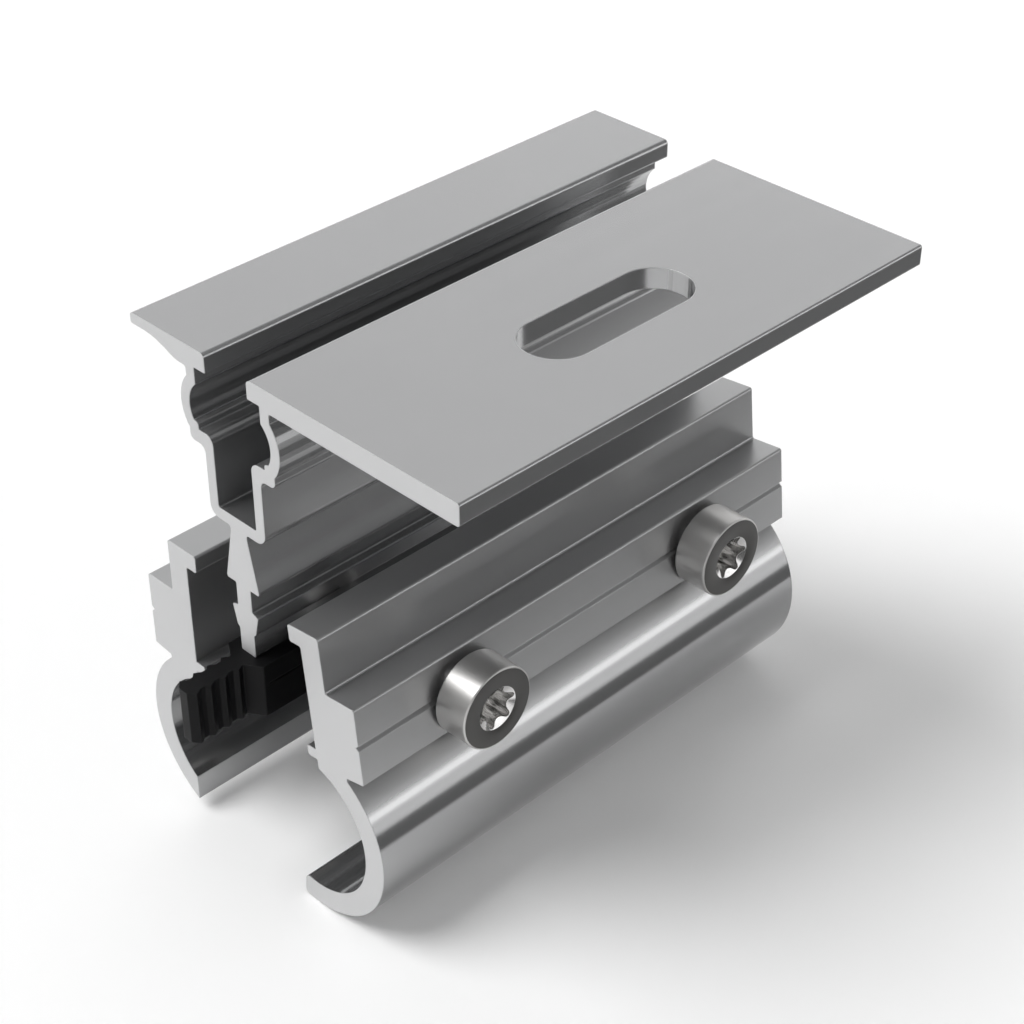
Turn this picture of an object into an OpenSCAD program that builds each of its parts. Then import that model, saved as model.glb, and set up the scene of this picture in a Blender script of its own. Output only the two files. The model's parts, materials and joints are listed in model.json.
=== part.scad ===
// Clamp for a metal roof whose standing seams end in a round bead.
// Three extruded aluminium profiles of one length: a carrier with a T-slot and a slotted plate on
// top, and two jaws that hook under the carrier's stem and close on the bead. Two cylinder screws
// draw the jaws together, and a black moulded spacer with a ribbed tail sits under the stem.
// Millimetres. X runs across the seam, Y along it, Z up. The origin is the centre of the bead at
// half the clamp's length, in the centre plane of the stem. The jaws are drawn loosened.

/* [Clamp] */
// Length of the three profiles along the seam
clamp_len = 90; // [75:1:160]
// Radius of the bead that the jaws close on
bead_r = 12; // [10:0.5:14]
// Distance of the loosened rear jaw from its closed place
rear_open = 9; // [6:0.1:12]
// Distance of the loosened front jaw's bead centre from the stem's centre plane
front_open = 11.1; // [9:0.1:13]
// Drop of the loosened front jaw
front_drop = 0.6; // [0:0.1:1]
// Lean of the loosened front jaw towards the stem, in degrees
front_lean = 6.2; // [0:0.1:7]

/* [Plate and wing] */
// Reach of the slotted plate from the stem's centre plane
plate_reach = 43.3; // [40:0.1:60]
// Thickness of the slotted plate
plate_t = 3.3; // [2.5:0.1:4.5]
// Width of the slot in the plate
slot_w = 10.8; // [8.4:0.1:12]
// Length of the slot from end to end
slot_len = 30; // [20:1:50]
// Distance of the slot's centre from the stem's centre plane
slot_x = 24.9; // [21:0.1:28]
// Reach of the wing on the other side
wing_reach = 19.9; // [19:0.1:26]
// Thickness of the wing at its free edge
wing_t = 1.6; // [1.2:0.1:2.4]
// Length of the wing's flat edge before it thickens
wing_flat = 4.9; // [3:0.1:6]
// Thickness of the wing where it meets the channel
wing_root_t = 3.4; // [3:0.1:4.5]

/* [T-slot channel] */
// Width of the slot between the two lips
throat_w = 8.6; // [8.2:0.1:10]
// Thickness of the lips
lip_t = 2.9; // [2:0.1:3.5]
// Width of the chamber for the bolt's head
chamber_w = 13.4; // [13.2:0.1:15]
// Height of the flat upper part of the chamber's sides
chamber_side_h = 2.7; // [2:0.1:3]
// Radius of the round hollow in each side of the chamber
hollow_r = 4.7; // [4.4:0.1:5]
// Depth of the round hollow in each side of the chamber
hollow_d = 1.65; // [1.2:0.05:2]
// Depth of the shelf under the chamber, from the top face
shelf_z = 12.7; // [12.4:0.1:13.5]
// Thickness of the shelf
shelf_t = 2.1; // [1.6:0.1:3]
// Width of the lower slot
lower_w = 8; // [6:0.1:8.5]
// Depth of the whole channel, from the top face to its underside
channel_h = 25.65; // [22:0.05:32]
// Thickness of the channel's walls
wall_t = 1.75; // [1.4:0.05:2.4]
// Thickness of the channel's floor
floor_t = 1.83; // [1.4:0.01:3]

/* [Stem] */
// Half width of the stem's neck
neck_half = 1.7; // [1.5:0.1:2.2]
// Half width of the collar over the jaws' hooks
collar_half = 3.4; // [3:0.1:3.7]
// Height of the neck and the collar together
stem_h = 9.45; // [8:0.05:14]
// Half width of the waist that the hooks close round
waist_half = 1.5; // [1.2:0.1:1.7]
// Half width of the barb under the waist
barb_half = 2.7; // [2.4:0.1:3]
// Height of the barb
barb_h = 4; // [3:0.1:6]
// Height of the foot under the barb
foot_h = 3.8; // [2:0.1:6]

/* [Jaws] */
// Wall thickness of the curved legs
leg_t = 3.74; // [3:0.02:4.5]
// Height of the ledges' underside over the bead
ledge_rise = 0.9; // [0.6:0.1:1.5]
// Thickness of the ledges
ledge_t = 1.7; // [1.2:0.1:2.5]
// Half width of the mouth between the two ledges when closed
ledge_mouth = 2.2; // [1:0.1:3]
// Thickness of the block that takes the screws
block_t = 9.8; // [9:0.1:13]
// Height of the block
block_h = 12.8; // [12:0.1:18]
// Thickness of the post over the block
post_t = 4; // [3:0.1:6]
// Height of the post
post_h = 9; // [8.6:0.1:12]
// Thickness of the hook
hook_t = 2.8; // [2:0.1:4]
// Distance of the rear leg's end from the bead's centre plane
rear_tip = 7; // [5:0.1:9]
// Angle by which the front leg curls on under the bead, in degrees
front_curl = 10.8; // [4:0.1:20]
// Radius at the end of the front leg
curl_r = 0.8; // [0.4:0.1:1.2]
// Height of the drill groove and of the screws over the ledges
screw_rise = 4.7; // [4.4:0.1:6]
// Depth of the drill groove
groove_d = 0.57; // [0.3:0.01:1]

/* [Screws] */
// Diameter of the shank
screw_d = 8; // [6:0.5:8]
// Length of the shank under the head
screw_len = 45; // [44:1:60]
// Diameter of the head
head_d = 13; // [11:0.1:13.3]
// Height of the head
head_h = 5.8; // [5:0.1:8]
// Distance between the two screws
screw_pitch = 50; // [44:1:56]
// Width of the six-lobe drive across its lobes
drive_a = 6.75; // [6:0.05:7.5]
// Width of the six-lobe drive between its lobes
drive_b = 4.85; // [4.4:0.05:5.2]
// Diameter of the countersink at the drive's mouth
mouth_d = 6.95; // [6.8:0.05:8]
// Depth of the drive
drive_h = 4.2; // [2:0.1:4.4]

/* [Spacer] */
// Width of the spacer's body
spacer_w = 7.7; // [6.6:0.1:9]
// Number of ribs on each side of the tail
rib_count = 4; // [3:1:6]
// Distance from rib to rib
rib_pitch = 2.45; // [2.2:0.05:3]
// Half width of the tail at the ribs' tips
rib_half = 1.98; // [1.6:0.02:2.2]
// Half width of the tail between the ribs
tail_half = 1.38; // [0.9:0.02:1.5]
// Height of the fine slit along each side
slit_w = 0.35; // [0.2:0.05:0.6]
// Depth of the fine slits
slit_d = 0.15; // [0.1:0.05:0.4]
// Thickness left over and under the screw where the body ends round it
horn_t = 0.6; // [0.4:0.1:1]

/* [Clearances] */
// Gap between the hooks and the collar over them
hook_play = 0.8; // [0.3:0.1:1.5]
// Gap between the hooks and the barb under them
barb_play = 0.3; // [0.2:0.05:1]
// Gap between a closed hook and the waist
waist_play = 0.3; // [0.2:0.05:1]
// Gap between the closed jaws and the spacer's sides
side_play = 0.2; // [0.1:0.05:0.6]
// Gap between the spacer and the ledges that pass under it
ledge_play = 0.35; // [0.2:0.05:0.6]
// Radial gap of the screws in the rear jaw's tapped holes
thread_play = 0.05; // [0.02:0.01:0.1]
// Radial gap of the screws in the front jaw's holes
hole_play = 0.5; // [0.3:0.1:1]
// Radial gap between the near screw and the spacer's round end
round_play = 0.25; // [0.1:0.05:0.6]
// Gap between a head and the foremost edge of the leaning jaw
head_play = 0.05; // [0.02:0.01:0.2]

/* [Hidden] */
$fn = 96;
// Largest turn between two points of a rounded corner, in degrees
round_step = 9;
// Extra length of a cut past the faces that it goes through
over = 1;
// Radii of the extrusions' corners: on outer edges, in fine steps and at the T-slot's lips
edge_r = 0.4;
fine_r = 0.2;
lip_r = 0.75;
// Height of the slanted top of the barb, and of the straight rims of the collar
slant_h = 0.4;
// Half height of the drill groove
groove_half = 0.5;

// Heights over the bead's centre, from the jaws up to the plate
ledge_under_z = bead_r + ledge_rise;
ledge_top_z = ledge_under_z + ledge_t;
screw_z = ledge_top_z + screw_rise;
block_top_z = ledge_under_z + block_h;
hook_top_z = block_top_z + post_h;
hook_under_z = hook_top_z - hook_t;
collar_z = hook_top_z + hook_play;
barb_z = hook_under_z - barb_play;
foot_z = barb_z - barb_h - foot_h;
plate_top_z = collar_z + stem_h + channel_h;

// Distances of the closed jaws' faces from the stem's centre plane
jaw_inner = spacer_w / 2 + side_play;
hook_tip = waist_half + waist_play;
block_outer = jaw_inner + block_t;
post_outer = jaw_inner + post_t;
leg_outer_r = bead_r + leg_t;

// Channel, measured from the centre plane and down from the top face
chamber_half = chamber_w / 2;
lower_half = lower_w / 2;
wall_outer = chamber_half + wall_t;
lower_outer = lower_half + wall_t;
hollow_x = chamber_half + hollow_d - hollow_r;
hollow_z = -(lip_t + chamber_side_h + sqrt(hollow_r ^ 2 - (chamber_half - hollow_x) ^ 2));
hollow_end_z = 1.2 - shelf_z;
shelf_step = 0.3;

// Ends of the three profiles, and the places of the screws between them
near_end = -clamp_len / 2;
screw_ys = [-screw_pitch / 2, screw_pitch / 2];

// Seat of the heads: the foremost point of the leaning block that a head reaches
block_edge_z = (ledge_under_z + 0.1) * cos(front_lean) + block_outer * sin(front_lean) - front_drop;
seat_z = max(screw_z - head_d / 2, block_edge_z);
seat_x = front_open + block_outer / cos(front_lean) - (seat_z + front_drop) * tan(front_lean) + head_play;

// Arc about c from one angle to another, as corners [x, z, radius] that need no rounding
function arc(c, r, from, to) =
    let (n = ceil(abs(to - from) / round_step))
    [for (i = [0:n]) let (a = from + (to - from) * i / n) [c[0] + r * cos(a), c[1] + r * sin(a), 0]];

// Corners of one side, repeated on the other side in reverse order
function mirrored(corners) =
    [for (i = [len(corners) - 1:-1:0]) [-corners[i][0], corners[i][1], corners[i][2]]];

// Corners moved up by h
function raised(corners, h) = [for (p = corners) p + [0, h, 0]];

// Points that round one corner [x, z, radius] between its two neighbours
function rounded_corner(before, here, after) =
    let (b = [here[0], here[1]],
         u = [before[0], before[1]] - b,
         v = [after[0], after[1]] - b,
         un = u / norm(u),
         vn = v / norm(v),
         half = acos(max(-1, min(1, un * vn))) / 2)
    here[2] == 0 || half > 89.9 ? [b] :
    let (reach = min(here[2] / tan(half), 0.49 * norm(u), 0.49 * norm(v)),
         c = b + (un + vn) / norm(un + vn) * reach / cos(half),
         start = b + un * reach - c,
         turn = 180 - 2 * half,
         side = un[0] * vn[1] - un[1] * vn[0] > 0 ? -1 : 1,
         n = ceil(turn / round_step))
    [for (i = [0:n]) let (a = side * turn * i / n)
        c + [start[0] * cos(a) - start[1] * sin(a), start[0] * sin(a) + start[1] * cos(a)]];

// Outline through a list of corners, each rounded by its own radius
function rounded(corners) =
    let (n = len(corners))
    [for (i = [0:n - 1]) each rounded_corner(corners[(i + n - 1) % n], corners[i], corners[(i + 1) % n])];

// An outline in X and Z, drawn out along the seam
module profile() {
    rotate([90, 0, 0]) linear_extrude(height = clamp_len, center = true) children();
}

// A round cut across the seam, on a screw's axis
module across(y, d, from, to) {
    translate([from, y, screw_z]) rotate([0, 90, 0]) cylinder(d = d, h = to - from);
}

// The right half of the channel's inside, from the lip down to the floor
function channel_inside() = concat(
    [[throat_w / 2, 0, lip_r],
     [throat_w / 2, -lip_t, fine_r],
     [chamber_half, -lip_t, fine_r]],
    arc([hollow_x, hollow_z], hollow_r, acos((chamber_half - hollow_x) / hollow_r),
        asin((hollow_end_z - hollow_z) / hollow_r)),
    [[chamber_half + 0.15, hollow_end_z - 0.3, edge_r],
     [chamber_half + 0.15, -shelf_z, fine_r],
     [lower_half, -shelf_z, 1.9],
     [lower_half, floor_t - channel_h, edge_r]]);

// The left half of the channel's outside, from the wing or the plate down to the neck
function channel_outside(root_t) = concat(
    [[-wall_outer, -root_t, edge_r]],
    arc([-hollow_x, hollow_z], hollow_r + wall_t,
        180 - acos((wall_outer - hollow_x) / (hollow_r + wall_t)),
        180 + asin((shelf_z - 0.1 + hollow_z) / (hollow_r + wall_t))),
    [[-wall_outer - shelf_step, -shelf_z - shelf_step, fine_r],
     [-wall_outer - shelf_step, -shelf_z - shelf_t, 1.4],
     [-lower_outer, -shelf_z - shelf_t, 1.2],
     [-lower_outer, -channel_h, 1.8],
     [-neck_half, -channel_h, 0.6]]);

// The left half of the stem, from the neck down to the foot, in heights over the bead
function stem_left() = [
    [-neck_half, collar_z + stem_h - 1, 2],
    [-collar_half, collar_z + slant_h, edge_r],
    [-collar_half + 0.1, collar_z, fine_r],
    [-waist_half, collar_z, fine_r],
    [-waist_half, barb_z, fine_r],
    [-barb_half, barb_z - slant_h, fine_r],
    [-waist_half - 0.45, barb_z - barb_h + slant_h, fine_r],
    [-waist_half, barb_z - barb_h, fine_r],
    [-waist_half, foot_z, fine_r]];

// The whole section of the carrier
function carrier_outline() =
    let (inside = channel_inside(),
         wing = [
             [-wing_reach, 0, edge_r],
             [-wing_reach, -wing_t, edge_r],
             [-wing_reach + wing_flat, -wing_t, 12],
             [-wall_outer - 2.1, -wing_root_t, 5]],
         plate = [
             [plate_reach, -plate_t, edge_r],
             [plate_reach, 0, edge_r]])
    concat(
        raised(concat(inside, mirrored(inside), wing, channel_outside(wing_root_t)), plate_top_z),
        stem_left(),
        mirrored(stem_left()),
        raised(concat(mirrored(channel_outside(plate_t)), plate), plate_top_z));

module plate_slot() {
    run = (slot_len - slot_w) / 2;
    for (y = [-run, run]) translate([0, y]) circle(d = slot_w);
    translate([-slot_w / 2, -run]) square([slot_w, 2 * run]);
}

module carrier_profile() {
    color("gainsboro") difference() {
        profile() polygon(rounded(carrier_outline()));
        translate([slot_x, 0, plate_top_z - plate_t - over]) linear_extrude(plate_t + 2 * over) plate_slot();
    }
}

// The upper part that both jaws share, with its inner side towards the centre plane at x = 0.
// Its lower end runs into the leg, and the bead's circle is cut from both.
function jaw_top() = rounded([
    [hook_tip, hook_under_z, edge_r],
    [hook_tip, hook_top_z, edge_r],
    [post_outer, hook_top_z, edge_r],
    [post_outer, block_top_z, edge_r],
    [block_outer, block_top_z, edge_r],
    [block_outer, screw_z + groove_half, 0],
    [block_outer - groove_d, screw_z, 0],
    [block_outer, screw_z - groove_half, 0],
    [block_outer, ledge_under_z + 0.1, fine_r],
    [block_outer - 3.5, ledge_under_z - 0.3, fine_r],
    [block_outer - 4.2, 0.8 * bead_r, 0],
    [jaw_inner + 0.05, 0.8 * bead_r, 0],
    [jaw_inner + 0.05, ledge_under_z, fine_r],
    [ledge_mouth, ledge_under_z, edge_r],
    [ledge_mouth, ledge_top_z, fine_r],
    [jaw_inner, ledge_top_z, fine_r],
    [jaw_inner, hook_under_z, edge_r]]);

// The leg's section: the stretch of the ring round the bead that lies in the children
module leg_section() {
    difference() {
        intersection() {
            circle(r = leg_outer_r);
            children();
        }
        circle(r = bead_r);
    }
}

module rear_leg_section() {
    reach = 2 * leg_outer_r;
    root = jaw_inner + 1;
    leg_section()
        polygon([[root, reach], [root, 0], [rear_tip, 0], [rear_tip, -reach], [reach, -reach], [reach, reach]]);
}

module front_leg_section() {
    reach = 2 * leg_outer_r;
    root = jaw_inner + 1;
    end_angle = -90 - front_curl;
    leg_section()
        polygon([[root, reach], [root, 0], [0, 0], reach * [cos(end_angle), sin(end_angle)],
                 reach * [cos(-45), sin(-45)], [reach, reach]]);
    rotate(end_angle) {
        for (x = [bead_r + curl_r, leg_outer_r - curl_r]) translate([x, 0]) circle(r = curl_r, $fn = 32);
        translate([bead_r + curl_r, -curl_r]) square([leg_t - 2 * curl_r, 2 * curl_r]);
    }
}

// The upper part with the bead's circle cut out of its lower end, and the leg in the children
module jaw() {
    difference() {
        profile() polygon(jaw_top());
        rotate([90, 0, 0]) cylinder(r = bead_r, h = clamp_len + 2 * over, center = true);
    }
    profile() children();
}

module rear_jaw() {
    color("gainsboro") difference() {
        translate([-rear_open, 0, 0]) mirror([1, 0, 0]) jaw() rear_leg_section();
        for (y = screw_ys)
            across(y, screw_d + 2 * thread_play, -rear_open - block_outer - over, -rear_open);
    }
}

module front_jaw() {
    color("gainsboro") difference() {
        translate([front_open, 0, -front_drop]) rotate([0, -front_lean, 0]) jaw() front_leg_section();
        for (y = screw_ys) across(y, screw_d + 2 * hole_play, 0, seat_x + over);
    }
}

// Outline of the drive: six round lobes that run tangent into six round flutes
function drive_outline() =
    let (lobe_reach = drive_a / 2,
         flute_r = 0.21 * drive_a,
         flute_c = drive_b / 2 + flute_r,
         lobe_r = (lobe_reach ^ 2 + flute_c ^ 2 - 2 * lobe_reach * flute_c * cos(30) - flute_r ^ 2)
             / (2 * (flute_r + lobe_reach - flute_c * cos(30))),
         lobe_c = lobe_reach - lobe_r,
         flute = [flute_c * cos(30), flute_c * sin(30)],
         meet = atan2(flute[1], flute[0] - lobe_c),
         sixth = concat(arc([lobe_c, 0], lobe_r, -meet, meet), arc(flute, flute_r, 180 + meet, 240 - meet)))
    [for (k = [0:5]) each [for (p = sixth)
        [p[0] * cos(60 * k) - p[1] * sin(60 * k), p[0] * sin(60 * k) + p[1] * cos(60 * k)]]];

// A screw on its own axis, with the head's seat at z = 0 and the head above it
module screw_body(turn) {
    head_r = head_d / 2;
    rim_r = 0.45;
    tip_h = 1;
    // Cone of the countersink, drawn past both ends of what it cuts
    sink_low = (mouth_d - drive_b) / 2 + 0.3;
    sink_top = 0.3;
    // Blunt cone that the drill left under the drive, drawn a little way into it
    drill_d = drive_b - 0.2;
    drill_h = 0.65;
    difference() {
        union() {
            cylinder(r = head_r, h = head_h - rim_r);
            rotate_extrude() polygon(concat([[0, 0], [head_r, 0]],
                [for (p = arc([head_r - rim_r, head_h - rim_r], rim_r, 0, 90)) [p[0], p[1]]], [[0, head_h]]));
            translate([0, 0, tip_h - screw_len]) cylinder(d = screw_d, h = screw_len - tip_h + over);
            translate([0, 0, -screw_len]) cylinder(d1 = screw_d - 2 * tip_h, d2 = screw_d, h = tip_h);
        }
        rotate(turn) translate([0, 0, head_h - drive_h]) linear_extrude(drive_h + over) polygon(drive_outline());
        translate([0, 0, head_h - sink_low / tan(60)])
            cylinder(d1 = mouth_d - 2 * sink_low, d2 = mouth_d + 2 * sink_top, h = (sink_low + sink_top) / tan(60));
        translate([0, 0, head_h - drive_h - drill_h + 0.05]) cylinder(d1 = 0.8, d2 = drill_d, h = drill_h);
    }
}

module screw(y, turn) {
    color("silver") translate([seat_x, y, screw_z]) rotate([0, 90, 0]) screw_body(turn);
}

module screw_near() {
    screw(screw_ys[0], 42);
}

module screw_far() {
    screw(screw_ys[1], 30);
}

// Right side of the spacer seen from above, from the tail's end to the near screw. Each rib has a
// slanted flank towards the tail's end and a longer one towards the body.
function spacer_side(end_y) =
    let (flank = rib_half - tail_half,
         neck_y = near_end - 2.2,
         first_y = neck_y - 1.2 - (rib_count - 1) * rib_pitch)
    concat(
        [[0.85, first_y - 0.9, fine_r]],
        [for (i = [0:rib_count - 1])
            let (tip_y = first_y + i * rib_pitch)
            each [[rib_half, tip_y, 0.1],
                  [tail_half, tip_y + 1, fine_r],
                  [tail_half, min(tip_y + rib_pitch - flank, neck_y - 0.1), 0.1]]],
        [[1.4, neck_y, edge_r],
         [spacer_w / 2, near_end - 0.6, edge_r],
         [spacer_w / 2, end_y, edge_r]]);

module spacer() {
    bottom = ledge_top_z + ledge_play;
    notch_r = screw_d / 2 + round_play;
    horn_z = (foot_z - bottom) / 2 - horn_t;
    end_y = screw_ys[0] - sqrt(max(0, notch_r ^ 2 - horn_z ^ 2));
    side = spacer_side(end_y);
    slit_z = foot_z - 3.6;
    color([0.1, 0.1, 0.1]) difference() {
        translate([0, 0, bottom]) linear_extrude(foot_z - bottom) polygon(rounded(concat(side, mirrored(side))));
        across(screw_ys[0], 2 * notch_r, -spacer_w, spacer_w);
        for (x = [-1, 1])
            translate([x * spacer_w / 2 - slit_d, near_end + 0.3, slit_z]) cube([2 * slit_d, clamp_len, slit_w]);
    }
}

carrier_profile();
rear_jaw();
front_jaw();
spacer();
screw_near();
screw_far();
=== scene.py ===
"""Finishes, screws and studio for a clamp that grips the round bead of a standing seam roof.

Metres throughout. X runs across the seam, Y along it and Z up, from the centre of the bead. The
three aluminium profiles and the spacer keep their solids and get their finishes here. The two
screws are made again with their real thread, rounded rim and six-lobe drive.
"""

import json
import math

import bmesh
import bpy
from bpy.props import FloatProperty, FloatVectorProperty, IntProperty, PointerProperty
from mathutils import Matrix, Vector

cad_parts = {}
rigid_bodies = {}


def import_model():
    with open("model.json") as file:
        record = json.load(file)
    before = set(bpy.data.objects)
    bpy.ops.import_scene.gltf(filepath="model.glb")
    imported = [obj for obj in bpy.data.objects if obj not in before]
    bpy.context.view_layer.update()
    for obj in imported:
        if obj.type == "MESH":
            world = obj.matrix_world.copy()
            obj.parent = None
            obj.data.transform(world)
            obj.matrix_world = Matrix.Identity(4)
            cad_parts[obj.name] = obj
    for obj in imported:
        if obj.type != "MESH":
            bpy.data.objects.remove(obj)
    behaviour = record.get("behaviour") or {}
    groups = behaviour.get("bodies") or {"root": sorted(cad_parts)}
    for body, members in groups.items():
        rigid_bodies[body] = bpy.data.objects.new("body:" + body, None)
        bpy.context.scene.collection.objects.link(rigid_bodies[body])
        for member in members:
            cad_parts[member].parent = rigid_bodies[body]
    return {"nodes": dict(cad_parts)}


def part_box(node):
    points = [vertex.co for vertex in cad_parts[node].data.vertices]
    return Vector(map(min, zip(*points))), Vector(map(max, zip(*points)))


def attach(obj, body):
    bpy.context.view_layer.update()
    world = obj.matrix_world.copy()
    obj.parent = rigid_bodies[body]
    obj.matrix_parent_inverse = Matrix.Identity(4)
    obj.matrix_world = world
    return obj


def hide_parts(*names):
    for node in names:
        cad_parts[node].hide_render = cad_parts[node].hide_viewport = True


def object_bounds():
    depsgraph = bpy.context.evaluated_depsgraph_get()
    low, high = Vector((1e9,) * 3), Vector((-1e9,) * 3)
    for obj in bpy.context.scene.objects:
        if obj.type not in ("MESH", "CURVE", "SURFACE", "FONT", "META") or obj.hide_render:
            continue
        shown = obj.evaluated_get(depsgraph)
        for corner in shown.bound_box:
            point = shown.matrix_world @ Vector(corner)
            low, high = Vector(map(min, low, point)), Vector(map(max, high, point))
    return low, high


bl_info = {
    "name": "Standing Seam Roof Clamp",
    "version": (1, 0, 0),
    "blender": (4, 5, 0),
    "location": "View3D > Sidebar > Seam Clamp",
    "description": "Finishes, screws and studio for a standing seam roof clamp",
    "category": "Object",
}

# The scene starts empty, so that only the clamp and its stage are in it
for leftover in list(bpy.data.objects):
    bpy.data.objects.remove(leftover)
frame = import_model()
CAD_LOW, CAD_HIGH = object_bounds()
MM = 0.001
PER_MM = 1000.0
SCREW_LOW, SCREW_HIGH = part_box("screw_near")
SCREW_SIZE = SCREW_HIGH - SCREW_LOW
HEAD_HEIGHT = 5.8 * MM


def screw_place(node):
    """Seat of the head, on the screw's axis, from the node's box."""
    low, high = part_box(node)
    axis = (low + high) / 2
    return Vector((high.x - HEAD_HEIGHT, axis.y, axis.z))


# Sizes and colours


class ClampAluminiumSettings(bpy.types.PropertyGroup):
    """The mill finish of the carrier and the jaws"""

    colour: FloatVectorProperty(
        name="Colour",
        description="Colour of the bare aluminium",
        subtype="COLOR",
        size=3,
        min=0,
        max=1,
        default=(0.42, 0.422, 0.426),
    )
    leg_colour: FloatVectorProperty(
        name="Leg Colour",
        description="Colour of the smooth curved legs",
        subtype="COLOR",
        size=3,
        min=0,
        max=1,
        default=(0.4, 0.402, 0.406),
    )
    sawn_colour: FloatVectorProperty(
        name="Sawn Colour",
        description="Colour of the freshly sawn ends, paler than the drawn sides",
        subtype="COLOR",
        size=3,
        min=0,
        max=1,
        default=(0.63, 0.632, 0.636),
    )
    metallic: FloatProperty(
        name="Metallic",
        description="How strongly the drawn sides mirror the room",
        subtype="FACTOR",
        min=0,
        max=1,
        default=0.85,
    )
    sawn_metallic: FloatProperty(
        name="Metallic, Sawn Ends",
        description="How strongly the sawn ends mirror the room",
        subtype="FACTOR",
        min=0,
        max=1,
        default=0.35,
    )
    carrier_roughness: FloatProperty(
        name="Roughness, Carrier",
        description="Roughness of the carrier's drawn sides",
        subtype="FACTOR",
        min=0,
        max=1,
        default=0.22,
    )
    jaw_roughness: FloatProperty(
        name="Roughness, Jaws",
        description="Roughness of the jaws' drawn sides over the legs",
        subtype="FACTOR",
        min=0,
        max=1,
        default=0.34,
    )
    leg_roughness: FloatProperty(
        name="Roughness, Legs",
        description="Roughness of the smooth curved legs",
        subtype="FACTOR",
        min=0,
        max=1,
        default=0.12,
    )
    leg_top: FloatProperty(
        name="Leg Height",
        description="Height over the bead's centre up to which the legs' smooth finish reaches",
        unit="LENGTH",
        default=9.2 * MM,
    )
    sawn_roughness: FloatProperty(
        name="Roughness, Sawn Ends",
        description="Roughness of the sawn ends",
        subtype="FACTOR",
        min=0,
        max=1,
        default=0.6,
    )
    edge_radius: FloatProperty(
        name="Edge Radius",
        description="Width over which the sharp edges catch the light",
        subtype="DISTANCE",
        unit="LENGTH",
        min=0,
        max=2 * MM,
        default=0.25 * MM,
    )


class ClampScrewSettings(bpy.types.PropertyGroup):
    """The two cylinder screws with six-lobe drive"""

    steel: FloatVectorProperty(
        name="Steel",
        description="Colour of the turned and threaded steel",
        subtype="COLOR",
        size=3,
        min=0,
        max=1,
        default=(0.56, 0.553, 0.543),
    )
    # Painted shade: the head's flat face is the same steel as the sides, painted much darker
    face: FloatVectorProperty(
        name="Head Face",
        description="Colour of the flat face of the head",
        subtype="COLOR",
        size=3,
        min=0,
        max=1,
        default=(0.12, 0.118, 0.115),
    )
    # Painted highlight: the drive's walls are the same steel as the sides, painted paler
    drive: FloatVectorProperty(
        name="Drive",
        description="Colour of the bright walls of the drive",
        subtype="COLOR",
        size=3,
        min=0,
        max=1,
        default=(0.78, 0.774, 0.765),
    )
    side_roughness: FloatProperty(
        name="Roughness, Sides",
        description="Roughness of the head's side and of the threaded shank",
        subtype="FACTOR",
        min=0,
        max=1,
        default=0.36,
    )
    face_roughness: FloatProperty(
        name="Roughness, Head Face",
        description="Roughness of the flat face of the head",
        subtype="FACTOR",
        min=0,
        max=1,
        default=0.34,
    )
    drive_roughness: FloatProperty(
        name="Roughness, Drive",
        description="Roughness of the bright walls of the drive",
        subtype="FACTOR",
        min=0,
        max=1,
        default=0.16,
    )
    shank_radius: FloatProperty(
        name="Shank Radius",
        description="Radius of the shank and of the thread's crests",
        unit="LENGTH",
        default=4 * MM,
    )
    length: FloatProperty(
        name="Length",
        description="Length of the shank under the head",
        unit="LENGTH",
        default=SCREW_SIZE.x - HEAD_HEIGHT,
    )
    thread_length: FloatProperty(
        name="Thread Length",
        description="Length of the threaded end",
        unit="LENGTH",
        default=28 * MM,
    )
    pitch: FloatProperty(
        name="Pitch",
        description="Distance from thread to thread",
        unit="LENGTH",
        default=1.25 * MM,
    )
    thread_depth: FloatProperty(
        name="Thread Depth",
        description="Depth of the thread",
        unit="LENGTH",
        default=0.66 * MM,
    )
    tip: FloatProperty(
        name="Tip Chamfer",
        description="Length of the chamfer at the screw's end",
        unit="LENGTH",
        default=1 * MM,
    )
    head_radius: FloatProperty(
        name="Head Radius",
        description="Radius of the head",
        unit="LENGTH",
        default=SCREW_SIZE.z / 2,
    )
    head_height: FloatProperty(
        name="Head Height",
        description="Height of the head over its seat",
        unit="LENGTH",
        default=HEAD_HEIGHT,
    )
    rim: FloatProperty(
        name="Rim Radius",
        description="Radius of the rounded rim of the head",
        unit="LENGTH",
        default=0.25 * MM,
    )
    drive_lobes: FloatProperty(
        name="Drive Across Lobes",
        description="Width of the six-lobe drive across its lobes",
        unit="LENGTH",
        default=6.75 * MM,
    )
    drive_flutes: FloatProperty(
        name="Drive Between Lobes",
        description="Width of the six-lobe drive between its lobes",
        unit="LENGTH",
        default=4.85 * MM,
    )
    drive_mouth: FloatProperty(
        name="Drive Mouth",
        description="Diameter of the countersink at the drive's mouth",
        unit="LENGTH",
        default=6.95 * MM,
    )
    drive_depth: FloatProperty(
        name="Drive Depth",
        description="Depth of the drive",
        unit="LENGTH",
        default=4.2 * MM,
    )
    near_turn: FloatProperty(
        name="Turn, Near Screw",
        description="Turn of the near screw's drive",
        subtype="ANGLE",
        unit="ROTATION",
        default=math.radians(42),
    )
    far_turn: FloatProperty(
        name="Turn, Far Screw",
        description="Turn of the far screw's drive",
        subtype="ANGLE",
        unit="ROTATION",
        default=math.radians(30),
    )
    head_steps: IntProperty(
        name="Head Steps",
        description="Points round the head",
        min=48,
        max=288,
        default=144,
    )


class ClampSpacerSettings(bpy.types.PropertyGroup):
    """The moulded spacer under the stem"""

    colour: FloatVectorProperty(
        name="Colour",
        description="Colour of the black plastic",
        subtype="COLOR",
        size=3,
        min=0,
        max=1,
        default=(0.004, 0.004, 0.0045),
    )
    roughness: FloatProperty(
        name="Roughness",
        description="Roughness of the plastic",
        subtype="FACTOR",
        min=0,
        max=1,
        default=0.42,
    )


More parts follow.
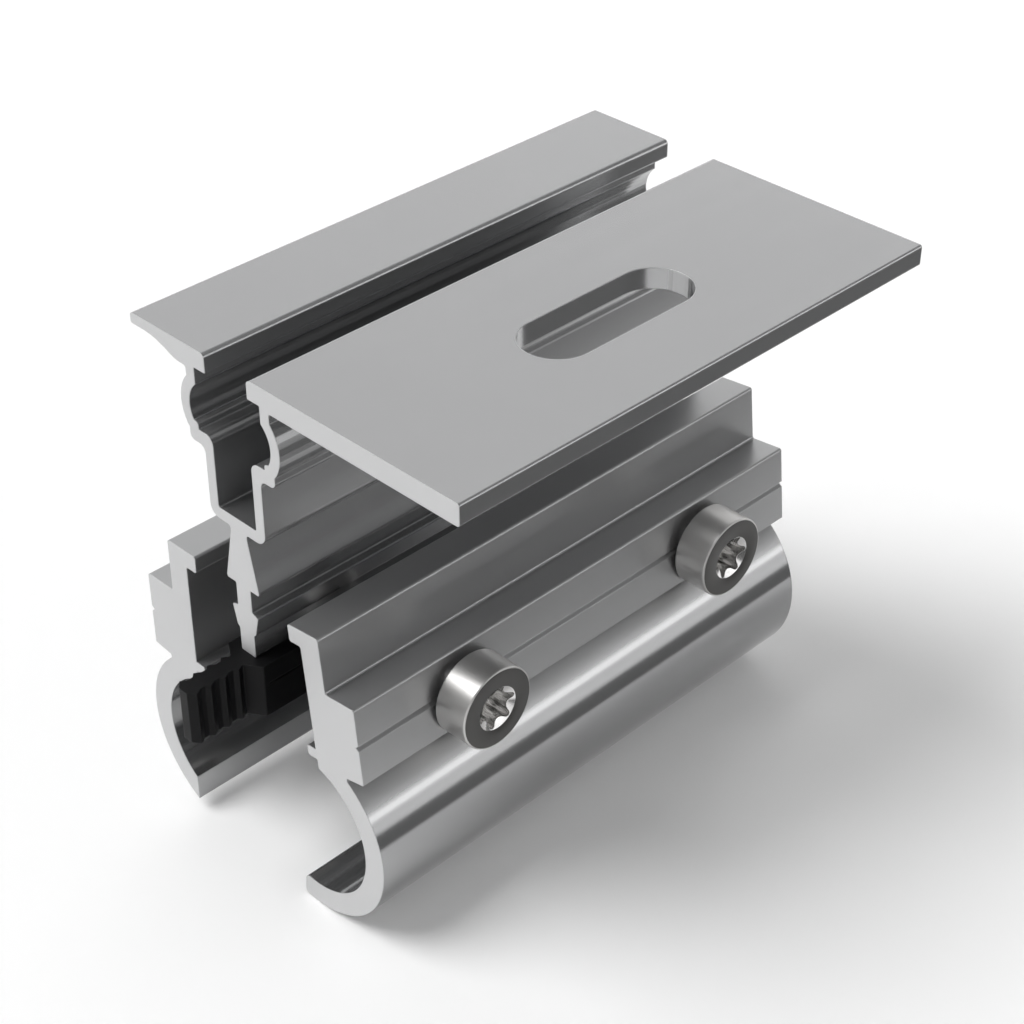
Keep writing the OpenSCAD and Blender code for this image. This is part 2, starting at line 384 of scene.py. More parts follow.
class ClampStageSettings(bpy.types.PropertyGroup):
    """Floor, card, lamps, room and camera"""

    floor: FloatVectorProperty(
        name="Floor",
        description="Colour of the floor",
        subtype="COLOR",
        size=3,
        min=0,
        max=1,
        default=(0.95, 0.95, 0.95),
    )
    backdrop_lift: FloatProperty(
        name="Backdrop Lift",
        description="How much whiter the floor shows to the camera and in the metal than it is lit",
        min=0,
        max=1,
        default=0.06,
    )
    room: FloatProperty(
        name="Room Level",
        description="Brightness of the white room all round",
        min=0,
        max=2,
        default=0.27,
    )
    key_strength: FloatProperty(
        name="Key Light",
        description="Strength of the far key light at the front left",
        min=0,
        max=10,
        default=2.25,
    )
    key_spread: FloatProperty(
        name="Key Spread",
        description="Angular width of the key light, which softens its shadow",
        subtype="ANGLE",
        unit="ROTATION",
        default=math.radians(36),
    )
    top_power: FloatProperty(
        name="Top Lamp",
        description="Power of the wide soft lamp over the left back",
        unit="POWER",
        default=3.0,
    )
    strip_power: FloatProperty(
        name="Strip Lamp",
        description="Power of the strip lamp at the right back",
        unit="POWER",
        default=0.6,
    )
    card: FloatVectorProperty(
        name="Dark Card",
        description="Colour of the card that only the metal sees, so that its edges stand out",
        subtype="COLOR",
        size=3,
        min=0,
        max=1,
        default=(0.1, 0.1, 0.1),
    )
    lens: FloatProperty(
        name="Lens",
        description="Focal length of the camera, in millimetres",
        min=20,
        max=200,
        default=76.0,
    )
    camera_at: FloatVectorProperty(
        name="Camera Place",
        description="Place of the camera",
        subtype="TRANSLATION",
        unit="LENGTH",
        size=3,
        default=(0.19277, -0.18608, 0.2145),
    )
    azimuth: FloatProperty(
        name="Azimuth",
        description="Direction of the camera round the clamp",
        subtype="ANGLE",
        unit="ROTATION",
        default=math.radians(44.94),
    )
    elevation: FloatProperty(
        name="Elevation",
        description="Angle of the camera over the horizon",
        subtype="ANGLE",
        unit="ROTATION",
        default=math.radians(35.19),
    )
    roll: FloatProperty(
        name="Roll",
        description="Tilt of the camera about its own axis",
        subtype="ANGLE",
        unit="ROTATION",
        default=math.radians(0.116),
    )


# Shader nodes


def put(tree, target, value):
    """Links a socket to an input, or sets the input to a plain value."""
    if isinstance(value, bpy.types.NodeSocket):
        tree.links.new(value, target)
    else:
        target.default_value = value


def add_node(tree, kind, values=None, **settings):
    """A node of the kind with its settings, and a value or a socket for each input given."""
    node = tree.nodes.new(kind)
    for name, value in settings.items():
        setattr(node, name, value)
    for key, value in (values or {}).items():
        put(tree, node.inputs[key], value)
    return node


def maths(tree, operation, *operands, clamp=False):
    """Output of a Math node; each operand is a number or a socket."""
    values = dict(enumerate(operands))
    return add_node(tree, "ShaderNodeMath", values, operation=operation, use_clamp=clamp).outputs[0]


def ramp(tree, value, low, high, to_low=0.0, to_high=1.0):
    """Smooth step of a value from low to high."""
    values = {"Value": value, "From Min": low, "From Max": high, "To Min": to_low, "To Max": to_high}
    node = add_node(tree, "ShaderNodeMapRange", values, interpolation_type="SMOOTHSTEP")
    return node.outputs["Result"]


def mix_colour(tree, factor, first, second):
    """Output of a colour Mix node; factor and colours are values or sockets."""
    factor_in, first_in, second_in, colour_out = 0, 6, 7, 2
    values = {factor_in: factor, first_in: first, second_in: second}
    return add_node(tree, "ShaderNodeMix", values, data_type="RGBA").outputs[colour_out]


def object_place(tree):
    """Place on the object, which stays with it as it moves."""
    return add_node(tree, "ShaderNodeTexCoord").outputs["Object"]


def axes_of(tree, vector):
    """The X, Y and Z outputs of a vector."""
    return add_node(tree, "ShaderNodeSeparateXYZ", {0: vector}).outputs


def noise(tree, place, one_axis=False, **values):
    """Output of a noise over a vector, or over a number when it runs along one axis."""
    dimensions, place_in = ("1D", "W") if one_axis else ("3D", "Vector")
    inputs = {label.title(): value for label, value in values.items()}
    inputs[place_in] = place
    return add_node(tree, "ShaderNodeTexNoise", inputs, noise_dimensions=dimensions).outputs["Fac"]


# Effects that several finishes share

FLOAT = "NodeSocketFloat"
COLOUR = "NodeSocketColor"
VECTOR = "NodeSocketVector"


def new_group(name, inputs, outputs):
    """A shader group with named sockets: name to (kind, default) and name to kind."""
    tree = bpy.data.node_groups.new(name, "ShaderNodeTree")
    for label, (kind, default) in inputs.items():
        socket = tree.interface.new_socket(label, in_out="INPUT", socket_type=kind)
        socket.default_value = default
    for label, kind in outputs.items():
        tree.interface.new_socket(label, in_out="OUTPUT", socket_type=kind)
    start = tree.nodes.new("NodeGroupInput")
    end = tree.nodes.new("NodeGroupOutput")
    return tree, start.outputs, end.inputs


def drawn_lines(name):
    """Fine lines that the die leaves along the profile, and broad bands of them."""
    tree, given, out = new_group(
        name,
        {"Lines Per Mm": (FLOAT, 3.0), "Stretch": (FLOAT, 60.0)},
        {"Height": FLOAT, "Bands": FLOAT},
    )
    across = maths(tree, "MULTIPLY", given["Lines Per Mm"], PER_MM)
    along = maths(tree, "DIVIDE", across, given["Stretch"])
    scale = add_node(tree, "ShaderNodeCombineXYZ", {"X": across, "Y": along, "Z": across}).outputs[0]
    factors = {0: object_place(tree), 1: scale}
    stretched = add_node(tree, "ShaderNodeVectorMath", factors, operation="MULTIPLY").outputs[0]
    put(tree, out["Height"], noise(tree, stretched, scale=1.0, detail=3.0, roughness=0.6))
    put(tree, out["Bands"], noise(tree, stretched, scale=0.12, detail=2.0, roughness=0.5))
    return tree


def sawn_ends(name):
    """The faces across the profile and the shallow arcs that the saw blade leaves on them."""
    slanted, square = 0.93, 0.99
    tree, given, out = new_group(
        name,
        {"Blade Radius": (FLOAT, 200 * MM), "Marks Per Mm": (FLOAT, 1.6)},
        {"Mask": FLOAT, "Height": FLOAT},
    )
    normal = axes_of(tree, add_node(tree, "ShaderNodeNewGeometry").outputs["True Normal"])
    put(tree, out["Mask"], ramp(tree, maths(tree, "ABSOLUTE", normal["Y"]), slanted, square))
    place = axes_of(tree, object_place(tree))
    drop = maths(tree, "ADD", place["Z"], given["Blade Radius"])
    squares = [maths(tree, "POWER", side, 2.0) for side in (drop, place["X"])]
    reach = maths(tree, "SQRT", maths(tree, "ADD", *squares))
    marks_per_metre = maths(tree, "MULTIPLY", given["Marks Per Mm"], PER_MM)
    turns = maths(tree, "MULTIPLY", reach, marks_per_metre)
    put(tree, out["Height"], noise(tree, turns, one_axis=True, scale=1.0, detail=2.0))
    return tree


def highlit_and_worn_edges(name):
    """Edges that catch the light: where the rounded normal leaves the face's own. The metals paint a
    highlight there, the plastic rubbed wear.
    """
    flat, highlit_and_worn = 0.995, 0.86
    tree, given, out = new_group(
        name, {"Radius": (FLOAT, 0.25 * MM)}, {"Mask": FLOAT, "Normal": VECTOR}
    )
    rounded = add_node(tree, "ShaderNodeBevel", {"Radius": given["Radius"]}, samples=6).outputs[0]
    normals = {0: rounded, 1: add_node(tree, "ShaderNodeNewGeometry").outputs["Normal"]}
    alike = add_node(tree, "ShaderNodeVectorMath", normals, operation="DOT_PRODUCT")
    put(tree, out["Mask"], ramp(tree, alike.outputs["Value"], flat, highlit_and_worn))
    put(tree, out["Normal"], rounded)
    return tree


def mottle(name):
    """Slow changes of tone over a surface."""
    tree, given, out = new_group(
        name,
        {"Color": (COLOUR, (0.5, 0.5, 0.5, 1.0)), "Patch": (FLOAT, 12 * MM), "Amount": (FLOAT, 0.06)},
        {"Color": COLOUR, "Tone": FLOAT},
    )
    per_metre = maths(tree, "DIVIDE", 1.0, given["Patch"])
    cloud = noise(tree, object_place(tree), scale=per_metre, detail=3.0, roughness=0.55)
    swing = maths(tree, "MULTIPLY", maths(tree, "SUBTRACT", cloud, 0.5), given["Amount"])
    gain = maths(tree, "ADD", 1.0, maths(tree, "MULTIPLY", swing, 2.0))
    shade = add_node(tree, "ShaderNodeVectorMath", {0: given["Color"], "Scale": gain}, operation="SCALE")
    put(tree, out["Color"], shade.outputs[0])
    put(tree, out["Tone"], cloud)
    return tree


EFFECTS = {
    "Drawn Lines": drawn_lines,
    "Sawn Ends": sawn_ends,
    "Highlit And Worn Edges": highlit_and_worn_edges,
    "Mottle": mottle,
}


def place_effect(tree, name, **values):
    """Outputs of an effect's group, built at its first use; an underscore in a value's name is a space."""
    node = tree.nodes.new("ShaderNodeGroup")
    node.node_tree = bpy.data.node_groups.get(name) or EFFECTS[name](name)
    for label, value in values.items():
        node.inputs[label.replace("_", " ").title()].default_value = value
    return node.outputs


# Finishes


def new_material(name):
    """An empty material, with the inputs of its Principled shader."""
    material = bpy.data.materials.new(name)
    material.use_nodes = True
    tree = material.node_tree
    tree.nodes.clear()
    shader = tree.nodes.new("ShaderNodeBsdfPrincipled")
    add_node(tree, "ShaderNodeOutputMaterial", {"Surface": shader.outputs[0]})
    return material, tree, shader.inputs


def paler(colour, gain=1.0, lift=0.0):
    """A lighter shade of a colour for its edges, with alpha: a painted highlight on the metals, rubbed
    wear on the plastic.
    """
    return (*(min(1.0, gain * channel + lift) for channel in colour), 1.0)


def follow_tone(tree, surface, tone, smooth, rough):
    """Roughness that goes from smooth to rough with the mottle."""
    low, high = 0.2, 0.8
    put(tree, surface["Roughness"], ramp(tree, tone["Tone"], low, high, smooth, rough))


def add_relief(tree, surface, height, edges, strength, depth):
    """Fine relief on a surface, over the rounded normal of its edges."""
    values = {"Height": height, "Normal": edges["Normal"], "Strength": strength, "Distance": depth}
    put(tree, surface["Normal"], add_node(tree, "ShaderNodeBump", values).outputs[0])


def leg_mask(tree, settings):
    """One on the curved legs, nothing above their upper edge."""
    height = axes_of(tree, object_place(tree))["Z"]
    fade = 1 * MM
    return ramp(tree, height, settings.leg_top - fade, settings.leg_top, 1.0, 0.0)


def aluminium(name, settings, drawn_rough, with_legs=False):
    """Bare drawn aluminium with die lines, dull pale sawn ends and edges that catch the light, with a
    painted highlight in their colour.
    """
    edge_cover, streak_swing = 0.7, 0.1
    material, tree, surface = new_material(name)
    tone = place_effect(tree, "Mottle", color=(*settings.colour, 1.0), patch=20 * MM, amount=0.03)
    lines = place_effect(tree, "Drawn Lines", lines_per_mm=2.5, stretch=80.0)
    ends = place_effect(tree, "Sawn Ends")
    edges = place_effect(tree, "Highlit And Worn Edges", radius=settings.edge_radius)
    sawn = ends["Mask"]

    drawn = tone["Color"]
    if with_legs:
        legs = leg_mask(tree, settings)
        drawn = mix_colour(tree, legs, drawn, (*settings.leg_colour, 1.0))
        smoother = settings.leg_roughness - drawn_rough
        drawn_rough = maths(tree, "MULTIPLY_ADD", legs, smoother, drawn_rough)
    # Painted highlight: the edges get a paler aluminium colour
    bright = maths(tree, "MULTIPLY", edges["Mask"], edge_cover)
    drawn = mix_colour(tree, bright, drawn, paler(settings.colour, gain=1.5))
    put(tree, surface["Base Color"], mix_colour(tree, sawn, drawn, (*settings.sawn_colour, 1.0)))

    change = settings.sawn_metallic - settings.metallic
    put(tree, surface["Metallic"], maths(tree, "MULTIPLY_ADD", sawn, change, settings.metallic))

    streak = maths(tree, "MULTIPLY_ADD", lines["Bands"], streak_swing, -streak_swing / 2)
    rough = maths(tree, "ADD", streak, drawn_rough)
    dull = maths(tree, "MAXIMUM", sawn, edges["Mask"])
    rough = maths(tree, "MULTIPLY", rough, maths(tree, "SUBTRACT", 1.0, dull))
    rough = maths(tree, "MULTIPLY_ADD", dull, settings.sawn_roughness, rough, clamp=True)
    put(tree, surface["Roughness"], rough)

    relief = maths(tree, "MULTIPLY", lines["Height"], maths(tree, "SUBTRACT", 1.0, sawn))
    relief = maths(tree, "MULTIPLY_ADD", ends["Height"], sawn, relief)
    add_relief(tree, surface, relief, edges, strength=0.1, depth=0.03 * MM)
    return material


def screw_steel(name, colour, roughness, edge_radius):
    """Turned steel with fine tool marks round the screw's axis, and a painted highlight along its edges.
    """
    unevenness = 0.04
    material, tree, surface = new_material(name)
    put(tree, surface["Metallic"], 1.0)
    tone = place_effect(tree, "Mottle", color=(*colour, 1.0), patch=3 * MM, amount=0.02)
    edges = place_effect(tree, "Highlit And Worn Edges", radius=edge_radius)
    # Painted highlight: a paler steel along the edges
    highlit_and_worn = mix_colour(tree, edges["Mask"], tone["Color"], paler(colour, gain=1.15, lift=0.06))
    put(tree, surface["Base Color"], highlit_and_worn)
    follow_tone(tree, surface, tone, roughness * (1 - unevenness), roughness * (1 + unevenness))
    height = axes_of(tree, object_place(tree))["Z"]
    grooves = noise(tree, height, one_axis=True, scale=2.6 * PER_MM, detail=0.0)
    add_relief(tree, surface, grooves, edges, strength=0.04, depth=0.02 * MM)
    return material


def moulded_plastic(name, settings):
    """Black plastic with a fine spark-eroded grain and edges rubbed a little paler."""
    edge_cover, smoother, rougher = 0.6, 0.06, 0.08
    material, tree, surface = new_material(name)
    tone = place_effect(tree, "Mottle", color=(*settings.colour, 1.0), patch=4 * MM, amount=0.2)
    edges = place_effect(tree, "Highlit And Worn Edges", radius=0.2 * MM)
    rubbed = maths(tree, "MULTIPLY", edges["Mask"], edge_cover)
    highlit_and_worn = mix_colour(tree, rubbed, tone["Color"], paler(settings.colour, lift=0.02))
    put(tree, surface["Base Color"], highlit_and_worn)
    follow_tone(tree, surface, tone, settings.roughness - smoother, settings.roughness + rougher)
    put(tree, surface["Specular IOR Level"], 0.12)
    grain = noise(tree, object_place(tree), scale=5 * PER_MM, detail=3.0)
    add_relief(tree, surface, grain, edges, strength=0.15, depth=0.04 * MM)
    return material


def pale_floor(name, settings):
    """Matt painted floor, a little whiter to the camera and in the metal than it is lit."""
    material, tree, surface = new_material(name)
    tone = place_effect(tree, "Mottle", color=(*settings.floor, 1.0), patch=0.4, amount=0.01)
    put(tree, surface["Base Color"], tone["Color"])
    put(tree, surface["Roughness"], 0.9)
    put(tree, surface["Specular IOR Level"], 0.0)
    path = add_node(tree, "ShaderNodeLightPath").outputs
    seen = maths(tree, "ADD", path["Is Camera Ray"], path["Is Glossy Ray"])
    seen = maths(tree, "ADD", seen, path["Is Transmission Ray"], clamp=True)
    lift = settings.backdrop_lift
    put(tree, surface["Emission Color"], mix_colour(tree, seen, (0, 0, 0, 1), (lift, lift, lift, 1)))
    put(tree, surface["Emission Strength"], 1.0)
    return material


def dark_paint(name, settings):
    """Matt dark paint of the card."""
    material, tree, surface = new_material(name)
    tone = place_effect(tree, "Mottle", color=(*settings.card, 1.0), patch=0.1, amount=0.05)
    put(tree, surface["Base Color"], tone["Color"])
    put(tree, surface["Roughness"], 1.0)
    return material


def give_finish(node, material):
    """Puts the material in the first slot of a CAD node."""
    frame["nodes"][node].material_slots[0].material = material


# Meshes


def ring(mesh, radius_at, height_at, steps):
    """Points round the axis; radius and height are functions of the angle."""
    made = []
    for i in range(steps):
        angle = 2 * math.pi * i / steps
        radius, height = radius_at(angle), height_at(angle)
        made.append(mesh.verts.new((radius * math.cos(angle), radius * math.sin(angle), height)))
    return made


def circle(mesh, radius, height, steps):
    """Points round the axis on one circle."""
    return ring(mesh, lambda angle: radius, lambda angle: height, steps)


def bridge(mesh, first, second, material):
    """Faces between two rings, the second further along the outline."""
    count = len(first)
    for i in range(count):
        k = (i + 1) % count
        mesh.faces.new((first[i], first[k], second[k], second[i])).material_index = material


def mesh_object(name, mesh, materials):
    """A smooth object in the scene from a finished mesh."""
    data = bpy.data.meshes.new(name)
    mesh.to_mesh(data)
    mesh.free()
    data.polygons.foreach_set("use_smooth", [True] * len(data.polygons))
    for material in materials:
        data.materials.append(material)
    obj = bpy.data.objects.new(name, data)
    bpy.context.scene.collection.objects.link(obj)
    return obj


# The screws, each on its own axis, with the head's seat at z = 0 and the head above it

# Material slots of a screw
SIDE, FACE, DRIVE = 0, 1, 2
# Widths over which the screw's edges catch the light
STEEL_EDGE = 0.12 * MM
DRIVE_EDGE = 0.08 * MM
# Fillet under the head, points along the rim and round the thread
FILLET = 0.3 * MM
RIM_STEPS = 8
THREAD_STEPS = 48
# Points closer than this become one, and edges bent more than this stay sharp
MERGE_WITHIN = 0.002 * MM
SHARP_FROM = math.radians(32)


def lobe_radius(settings, angle):
    """Reach of the six-lobe drive at an angle: round lobes that run into round flutes."""
    flute_share, half = 0.21, math.radians(30)
    reach = settings.drive_lobes / 2
    flute_r = flute_share * settings.drive_lobes
    flute_c = settings.drive_flutes / 2 + flute_r
    flute_x, flute_y = flute_c * math.cos(half), flute_c * math.sin(half)
    lobe_r = (reach**2 + flute_c**2 - 2 * reach * flute_x - flute_r**2) / (
        2 * (flute_r + reach - flute_x)
    )
    lobe_c = reach - lobe_r
    meet = math.atan2(flute_y, flute_x - lobe_c)
    join_at = math.atan2(lobe_r * math.sin(meet), lobe_c + lobe_r * math.cos(meet))
    turn = abs((angle + half) % (2 * half) - half)
    if turn <= join_at:
        return lobe_c * math.cos(turn) + math.sqrt(lobe_r**2 - (lobe_c * math.sin(turn)) ** 2)
    off = half - turn
    return flute_c * math.cos(off) - math.sqrt(flute_r**2 - (flute_c * math.sin(off)) ** 2)


def add_head(mesh, settings, turn):
    """The head from the fillet under it, round the rim, over the face and down into the drive."""
    shank, head, rim = settings.shank_radius, settings.head_radius, settings.rim
    top, mouth = settings.head_height, settings.drive_mouth / 2
    floor = top - settings.drive_depth
    bulge, chamfer = 0.3 * FILLET, 0.2 * MM
    face_edge, drop, countersink = 0.02 * MM, 0.01 * MM, math.radians(60)
    drill, cone_end, cone_depth = 2.1 * MM, 0.4 * MM, 0.6 * MM

    def lobed(angle):
        return lobe_radius(settings, angle - turn)

    def countersunk(angle):
        return top - (mouth - lobed(angle)) / math.tan(countersink) - drop

    outline = [(shank, -FILLET), (shank + bulge, -bulge), (shank + FILLET, 0.0)]
    outline += [(head - chamfer, 0.0), (head, chamfer)]
    for i in range(RIM_STEPS + 1):
        bend = math.pi / 2 * i / RIM_STEPS
        outline.append((head - rim + rim * math.cos(bend), top - rim + rim * math.sin(bend)))

    steps = settings.head_steps
    rings = [(circle(mesh, radius, height, steps), SIDE) for radius, height in outline]
    rings.append((circle(mesh, mouth + face_edge, top, steps), FACE))
    rings.append((circle(mesh, mouth, top - drop, steps), DRIVE))
    rings.append((ring(mesh, lobed, countersunk, steps), DRIVE))
    rings.append((ring(mesh, lobed, lambda angle: floor, steps), DRIVE))
    rings.append((circle(mesh, drill, floor, steps), DRIVE))
    rings.append((circle(mesh, cone_end, floor - cone_depth, steps), DRIVE))
    for (first, _), (second, material) in zip(rings, rings[1:]):
        bridge(mesh, first, second, material)
    mesh.faces.new(rings[-1][0]).material_index = DRIVE


def thread_columns(settings):
    """Columns of (radius, height) down the shank, one for each angle, that follow the helix."""
    crest, root = settings.shank_radius, settings.shank_radius - settings.thread_depth
    # Shares of the pitch: a narrow crest, a flank, a flat root, and a flank to the next crest
    crest_end, root_start, root_end = 0.11, 0.45, 0.66
    shape = ((0.0, crest), (crest_end, crest), (root_start, root), (root_end, root))
    start, end = settings.thread_length - settings.length, -settings.length
    turns = int(settings.thread_length / settings.pitch) + 2
    columns = []
    for i in range(THREAD_STEPS + 1):
        column = []
        for turn in range(-1, turns):
            for share, radius in shape:
                height = start - settings.pitch * (turn + share + i / THREAD_STEPS)
                fade = min(1.0, max(0.0, (height - start) / settings.pitch + 1.0))
                radius = radius + (crest - radius) * fade**2
                tip = crest - settings.tip + max(0.0, height - end)
                column.append((min(radius, tip), min(start, max(end, height))))
        columns.append(column)
    return columns


def add_thread(mesh, settings):
    """The threaded end of the shank."""
    grid = []
    for i, column in enumerate(thread_columns(settings)):
        angle = 2 * math.pi * i / THREAD_STEPS
        spots = [(radius * math.cos(angle), radius * math.sin(angle), height) for radius, height in column]
        grid.append([mesh.verts.new(spot) for spot in spots])
    for left, right in zip(grid, grid[1:]):
        for k in range(len(left) - 1):
            mesh.faces.new((left[k], left[k + 1], right[k + 1], right[k])).material_index = SIDE
    bmesh.ops.remove_doubles(mesh, verts=mesh.verts, dist=MERGE_WITHIN)
    bmesh.ops.dissolve_degenerate(mesh, edges=mesh.edges, dist=MERGE_WITHIN)


def add_shank(mesh, settings):
    """The plain shank between head and thread, and the flat of the tip."""
    shank, steps = settings.shank_radius, settings.head_steps
    upper = circle(mesh, shank, -FILLET, steps)
    lower = circle(mesh, shank, settings.thread_length - settings.length, steps)
    bridge(mesh, lower, upper, SIDE)
    end = circle(mesh, shank - settings.tip, -settings.length, THREAD_STEPS)
    mesh.faces.new(list(reversed(end))).material_index = SIDE
    bmesh.ops.remove_doubles(mesh, verts=mesh.verts, dist=MERGE_WITHIN)


def make_screw(name, node, settings, turn, materials):
    """A screw that replaces a CAD screw and rides on its body."""
    mesh = bmesh.new()
    add_head(mesh, settings, turn)
    add_thread(mesh, settings)
    add_shank(mesh, settings)
    bmesh.ops.recalc_face_normals(mesh, faces=mesh.faces)
    obj = mesh_object(name, mesh, materials)
    obj.data.set_sharp_from_angle(angle=SHARP_FROM)
    obj.matrix_world = Matrix.Translation(screw_place(node)) @ Matrix.Rotation(math.radians(90), 4, "Y")
    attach(obj, node)
    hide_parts(node)


# The stage

# Places and sizes of the lamps, and the point that they shine on
AIM = (0, 0, 0.02)
TOP_LAMP_AT, TOP_LAMP_SIZE = (-0.8, 0.8, 0.8), (1.3, 1.1)
STRIP_LAMP_AT, STRIP_LAMP_SIZE = (0.78, 0.6, 0.25), (1.3, 0.12)
KEY_LIGHT_FROM = (-0.34, -0.42, 0.84)
# The card lies just over the floor, and the floor just under the clamp
CARD_AT, CARD_SIZE = (0.24, 0.19), (0.328, 0.46)
FLOOR_GAP = 0.05 * MM
CARD_GAP = 1 * MM
# The camera's sensor in millimetres, as Blender takes it, and the range that it sees
SENSOR_WIDTH = 36
CLIP_FROM, CLIP_TO = 0.01, 20


def add_light(name, kind, place, target):
    """A light that shines from its place to a target; gives its settings."""
    data = bpy.data.lights.new(name, kind)
    lamp = bpy.data.objects.new(name, data)
    lamp.location = place
    lamp.rotation_euler = (Vector(target) - Vector(place)).to_track_quat("-Z", "Y").to_euler()
    bpy.context.scene.collection.objects.link(lamp)
    return data


def add_soft_lamp(name, place, size, power):
    """A soft rectangular lamp that shines on the clamp."""
    data = add_light(name, "AREA", place, AIM)
    data.shape = "RECTANGLE"
    data.size, data.size_y = size
    data.energy = power


def add_key_light(settings):
    """A far soft light at the front left, so that the whole floor is lit alike."""
    data = add_light("key_light", "SUN", KEY_LIGHT_FROM, (0, 0, 0))
    data.energy = settings.key_strength
    data.angle = settings.key_spread


def add_room(settings):
    """An even white room all round."""
    world = bpy.data.worlds.new("room")
    world.use_nodes = True
    background = world.node_tree.nodes["Background"].inputs
    background["Color"].default_value = (1, 1, 1, 1)
    background["Strength"].default_value = settings.room
    bpy.context.scene.world = world


def add_floor(settings):
    """A wide round floor under the clamp's lowest point, which sweeps up into a low wall."""
    flat, sweep, wall = 2.4, 0.6, 1.3
    steps, bends = 96, 10
    mesh = bmesh.new()
    inner = circle(mesh, flat, 0.0, steps)
    mesh.faces.new(inner)
    for i in range(1, bends + 1):
        bend = math.pi / 2 * i / bends
        outer = circle(mesh, flat + sweep * math.sin(bend), sweep * (1 - math.cos(bend)), steps)
        bridge(mesh, outer, inner, 0)
        inner = outer
    bridge(mesh, circle(mesh, flat + sweep, wall, steps), inner, 0)
    floor = mesh_object("floor", mesh, [pale_floor("Pale floor", settings)])
    floor.location.z = CAD_LOW.z - FLOOR_GAP


def add_dark_card(settings):
    """A matt dark card low at the right back, seen in the metal only."""
    mesh = bmesh.new()
    bmesh.ops.create_grid(mesh, x_segments=1, y_segments=1, size=0.5)
    card = mesh_object("dark_card", mesh, [dark_paint("Dark card", settings)])
    card.scale = (*CARD_SIZE, 1)
    card.location = (*CARD_AT, CAD_LOW.z + CARD_GAP)
    card.visible_camera = card.visible_diffuse = card.visible_shadow = False


def add_camera(settings):
    """The camera at the photograph's place and angle."""
    data = bpy.data.cameras.new("camera")
    data.lens = settings.lens
    data.sensor_width = SENSOR_WIDTH
    data.clip_start, data.clip_end = CLIP_FROM, CLIP_TO
    camera = bpy.data.objects.new("camera", data)
    around, above = settings.azimuth, settings.elevation
    level = math.cos(above)
    back = Vector((math.sin(around) * level, -math.cos(around) * level, math.sin(above)))
    right = Vector((math.cos(around), math.sin(around), 0))
    turned = Matrix((right, back.cross(right), back)).transposed().to_4x4()
    rolled = turned @ Matrix.Rotation(settings.roll, 4, "Z")
    camera.matrix_world = Matrix.Translation(settings.camera_at) @ rolled
    bpy.context.scene.collection.objects.link(camera)
    bpy.context.scene.camera = camera


# The pieces


class SEAMCLAMP_OT_stage(bpy.types.Operator):
    """Make the floor, the card, the lamps, the room and the camera"""

    bl_idname = "seamclamp.stage"
    bl_label = "Stage"

    def execute(self, context):
        settings = context.scene.seamclamp_stage
        context.scene.view_settings.view_transform = "Standard"
        add_floor(settings)
        add_dark_card(settings)
        add_key_light(settings)
        add_soft_lamp("top_lamp", TOP_LAMP_AT, TOP_LAMP_SIZE, settings.top_power)
        add_soft_lamp("strip_lamp", STRIP_LAMP_AT, STRIP_LAMP_SIZE, settings.strip_power)
        add_room(settings)
        add_camera(settings)
        return {"FINISHED"}


class SEAMCLAMP_OT_carrier(bpy.types.Operator):
    """Give the carrier profile its mill finish"""

    bl_idname = "seamclamp.carrier"
    bl_label = "Carrier"

    def execute(self, context):
        settings = context.scene.seamclamp_aluminium
        give_finish("carrier_profile", aluminium("Drawn aluminium", settings, settings.carrier_roughness))
        return {"FINISHED"}


class SEAMCLAMP_OT_jaws(bpy.types.Operator):
    """Give the two jaws their mill finish, smoother on the curved legs"""

    bl_idname = "seamclamp.jaws"
    bl_label = "Jaws"

    def execute(self, context):
        settings = context.scene.seamclamp_aluminium
        finish = aluminium(
            "Drawn aluminium with smooth legs", settings, settings.jaw_roughness, with_legs=True
        )
        for node in ("rear_jaw", "front_jaw"):
            give_finish(node, finish)
        return {"FINISHED"}


class SEAMCLAMP_OT_spacer(bpy.types.Operator):
    """Give the spacer its moulded black finish"""

    bl_idname = "seamclamp.spacer"
    bl_label = "Spacer"

    def execute(self, context):
        give_finish("spacer", moulded_plastic("Moulded plastic", context.scene.seamclamp_spacer))
        return {"FINISHED"}


class SEAMCLAMP_OT_screws(bpy.types.Operator):
    """Make the two screws with thread, rim and drive in place of the plain ones"""

    bl_idname = "seamclamp.screws"
    bl_label = "Screws"

    def execute(self, context):
        settings = context.scene.seamclamp_screws
        materials = [
            screw_steel("Turned steel", settings.steel, settings.side_roughness, STEEL_EDGE),
            # Painted shade: the head's face is the same steel, much darker
            screw_steel("Head face in painted shade", settings.face, settings.face_roughness, STEEL_EDGE),
            # Painted highlight: the drive's walls are the same steel, paler
            screw_steel("Drive steel in painted highlight", settings.drive, settings.drive_roughness, DRIVE_EDGE),
        ]
        make_screw("screw_near_steel", "screw_near", settings, settings.near_turn, materials)
        make_screw("screw_far_steel", "screw_far", settings, settings.far_turn, materials)
        return {"FINISHED"}


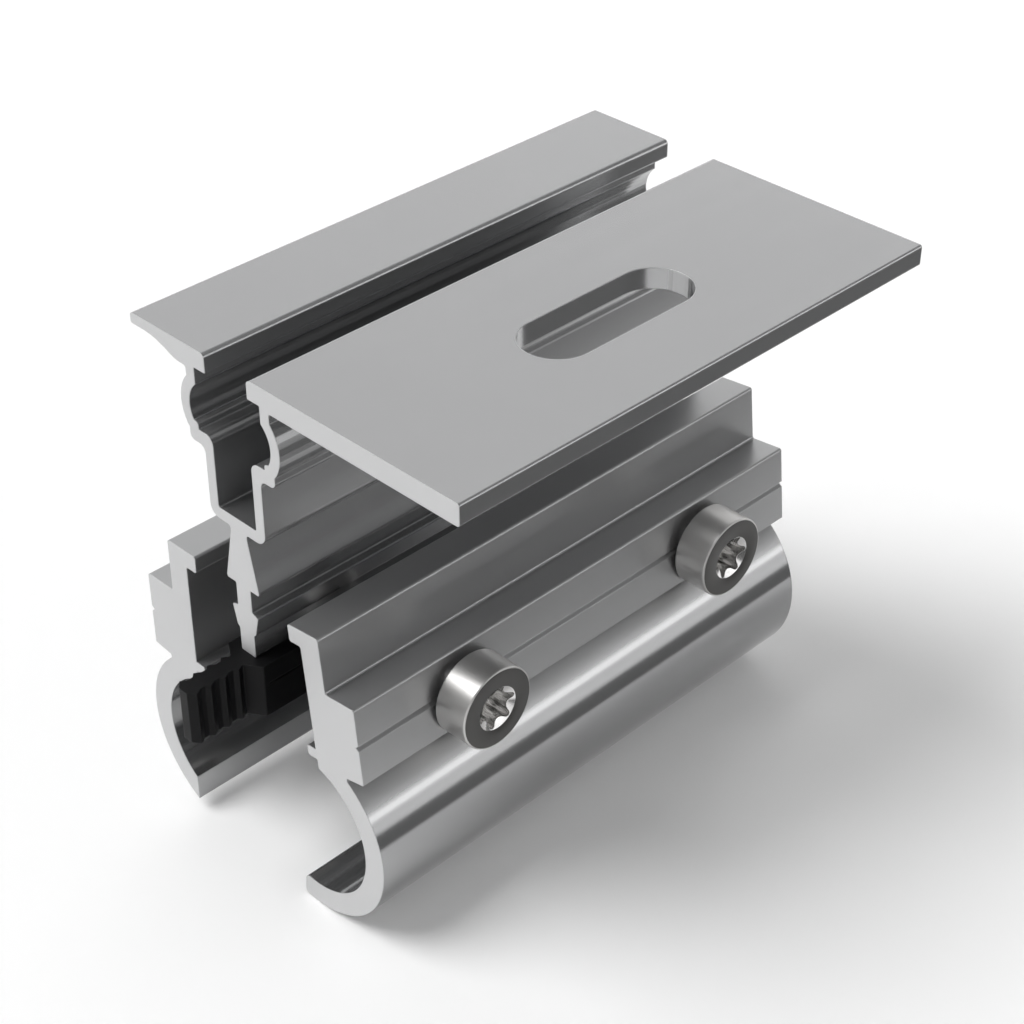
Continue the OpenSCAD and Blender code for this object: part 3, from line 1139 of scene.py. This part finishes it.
class SEAMCLAMP_PT_clamp(bpy.types.Panel):
    """Lists the clamp's sizes, colours and pieces"""

    bl_label = "Seam Clamp"
    bl_idname = "SEAMCLAMP_PT_clamp"
    bl_space_type = "VIEW_3D"
    bl_region_type = "UI"
    bl_category = "Seam Clamp"

    def draw(self, context):
        for settings, operators in PANEL_ROWS:
            box = self.layout.box()
            group = getattr(context.scene, settings)
            for name in group.bl_rna.properties.keys():
                if name not in ("rna_type", "name"):
                    box.prop(group, name)
            for operator in operators:
                box.operator(operator)


# Registration

SETTINGS = {
    "seamclamp_aluminium": ClampAluminiumSettings,
    "seamclamp_screws": ClampScrewSettings,
    "seamclamp_spacer": ClampSpacerSettings,
    "seamclamp_stage": ClampStageSettings,
}
OPERATORS = (
    SEAMCLAMP_OT_stage,
    SEAMCLAMP_OT_carrier,
    SEAMCLAMP_OT_jaws,
    SEAMCLAMP_OT_spacer,
    SEAMCLAMP_OT_screws,
)
PANEL_ROWS = (
    ("seamclamp_aluminium", ("seamclamp.carrier", "seamclamp.jaws")),
    ("seamclamp_screws", ("seamclamp.screws",)),
    ("seamclamp_spacer", ("seamclamp.spacer",)),
    ("seamclamp_stage", ("seamclamp.stage",)),
)


def register():
    """Adds the settings, the operators and the panel."""
    for kind in SETTINGS.values():
        bpy.utils.register_class(kind)
    for kind in OPERATORS:
        bpy.utils.register_class(kind)
    bpy.utils.register_class(SEAMCLAMP_PT_clamp)
    for name, kind in SETTINGS.items():
        setattr(bpy.types.Scene, name, PointerProperty(type=kind))


def unregister():
    """Takes them away again."""
    for name in SETTINGS:
        delattr(bpy.types.Scene, name)
    bpy.utils.unregister_class(SEAMCLAMP_PT_clamp)
    for kind in reversed(OPERATORS):
        bpy.utils.unregister_class(kind)
    for kind in SETTINGS.values():
        bpy.utils.unregister_class(kind)


def main():
    """Builds the stage and the dressed clamp."""
    register()
    bpy.ops.seamclamp.stage()
    bpy.ops.seamclamp.carrier()
    bpy.ops.seamclamp.jaws()
    bpy.ops.seamclamp.spacer()
    bpy.ops.seamclamp.screws()


if __name__ == "__main__":
    main()
